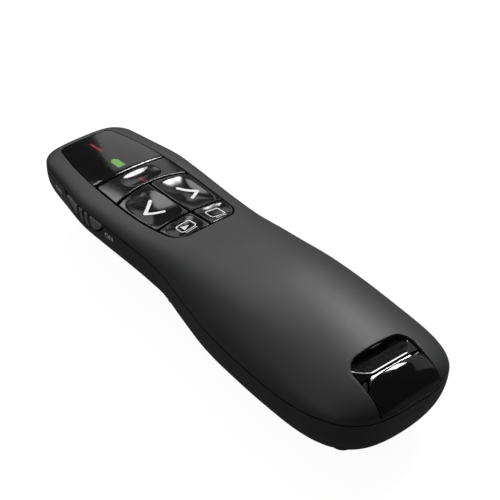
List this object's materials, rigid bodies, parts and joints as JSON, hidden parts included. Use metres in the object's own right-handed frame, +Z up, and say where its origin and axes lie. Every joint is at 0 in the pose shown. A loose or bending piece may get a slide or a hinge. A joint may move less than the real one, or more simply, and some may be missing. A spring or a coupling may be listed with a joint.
{
  "type": "wireless presentation clicker",
  "caption": "Handheld wireless presentation clicker with a glossy key panel, side power slider, laser aperture and a receiver docked in its tail.",
  "frame": {"origin": "bottom centre of the bounding box, on the surface that the clicker lies on", "axes": "+Y points to the nose with the laser, +X to the right seen from above with the nose ahead, +Z up through the keys"},
  "size_m": [0.0378, 0.1156, 0.0265],
  "materials": {
    "shell": "soft-touch charcoal coating, satin",
    "door": "soft-touch charcoal coating, satin",
    "window": "smoked acrylic, polished",
    "key": "polished black",
    "dock": "polished black",
    "frame": "fine spark texture",
    "slider": "satin black",
    "light_guide": "milky, clear gloss",
    "board": "solder mask",
    "chip": "moulded epoxy",
    "crystal_can": "satin",
    "capacitor": "ceramic",
    "led": "clear",
    "switch_body": "moulded",
    "plunger": "moulded",
    "actuator": "moulded",
    "barrel": "turned",
    "lens": "clear",
    "diode": "plated",
    "bezel": "black anodised",
    "tray": "moulded",
    "cell_can": "bright",
    "cell_sleeve": "plain shrink sleeve",
    "spring_steel": "nickel plated wire",
    "contact": "plated strip",
    "plug_steel": "nickel plated sheet",
    "tongue": "moulded",
    "screw_steel": "zinc plated"
  },
  "bodies": {
    "housing": {"lower_shell": "shell", "upper_shell": "shell", "display_window": "window", "tact_switches": "switch_body", "light_guides": "light_guide", "keypad_frame": "frame", "main_board": "board", "status_leds": "led", "radio_chip": "chip", "crystal": "crystal_can", "chip_capacitors": "capacitor", "slide_switch": "switch_body", "laser_barrel": "barrel", "laser_lens": "lens", "laser_diode": "diode", "aperture_bezel": "bezel", "battery_tray": "tray", "battery_cells": "cell_can", "battery_sleeves": "cell_sleeve", "battery_springs": "spring_steel", "front_contacts": "contact", "bridge_contact": "contact", "receiver_dock": "dock", "case_screws": "screw_steel", "board_screws": "screw_steel"},
    "laser_key": {"laser_button": "key", "laser_plunger": "plunger"},
    "back_key": {"back_button": "key", "back_plunger": "plunger"},
    "next_key": {"next_button": "key", "next_plunger": "plunger"},
    "slideshow_key": {"slideshow_button": "key", "slideshow_plunger": "plunger"},
    "blank_key": {"blank_button": "key", "blank_plunger": "plunger"},
    "power_slide": {"power_slider": "slider", "switch_actuator": "actuator"},
    "receiver": {"receiver_cap": "dock", "receiver_plug_shell": "plug_steel", "receiver_tongue": "tongue", "receiver_contacts": "contact", "receiver_board": "board"},
    "door": {"battery_door": "door"}
  },
  "joints": [
    {"name": "laser_press", "type": "slide", "parent": "housing", "child": "laser_key", "axis": [0, 0, -1], "range_m": [0, 0.0004], "stiffness_N_per_m": 500},
    {"name": "back_press", "type": "slide", "parent": "housing", "child": "back_key", "axis": [0, 0, -1], "range_m": [0, 0.0004], "stiffness_N_per_m": 500},
    {"name": "next_press", "type": "slide", "parent": "housing", "child": "next_key", "axis": [0, 0, -1], "range_m": [0, 0.0004], "stiffness_N_per_m": 500},
    {"name": "slideshow_press", "type": "slide", "parent": "housing", "child": "slideshow_key", "axis": [0, 0, -1], "range_m": [0, 0.0004], "stiffness_N_per_m": 500},
    {"name": "blank_press", "type": "slide", "parent": "housing", "child": "blank_key", "axis": [0, 0, -1], "range_m": [0, 0.0004], "stiffness_N_per_m": 500},
    {"name": "power_slide_move", "type": "slide", "parent": "housing", "child": "power_slide", "axis": [0, 1, 0], "range_m": [0, 0.0015]},
    {"name": "receiver_slide", "type": "slide", "parent": "housing", "child": "receiver", "axis": [0, -1, 0], "range_m": [0, 0.026]},
    {"name": "door_hinge", "type": "hinge", "parent": "housing", "child": "door", "pos_m": [0, 0.0015, 0.00185], "axis": [1, 0, 0], "range_deg": [0, 70]}
  ]
}
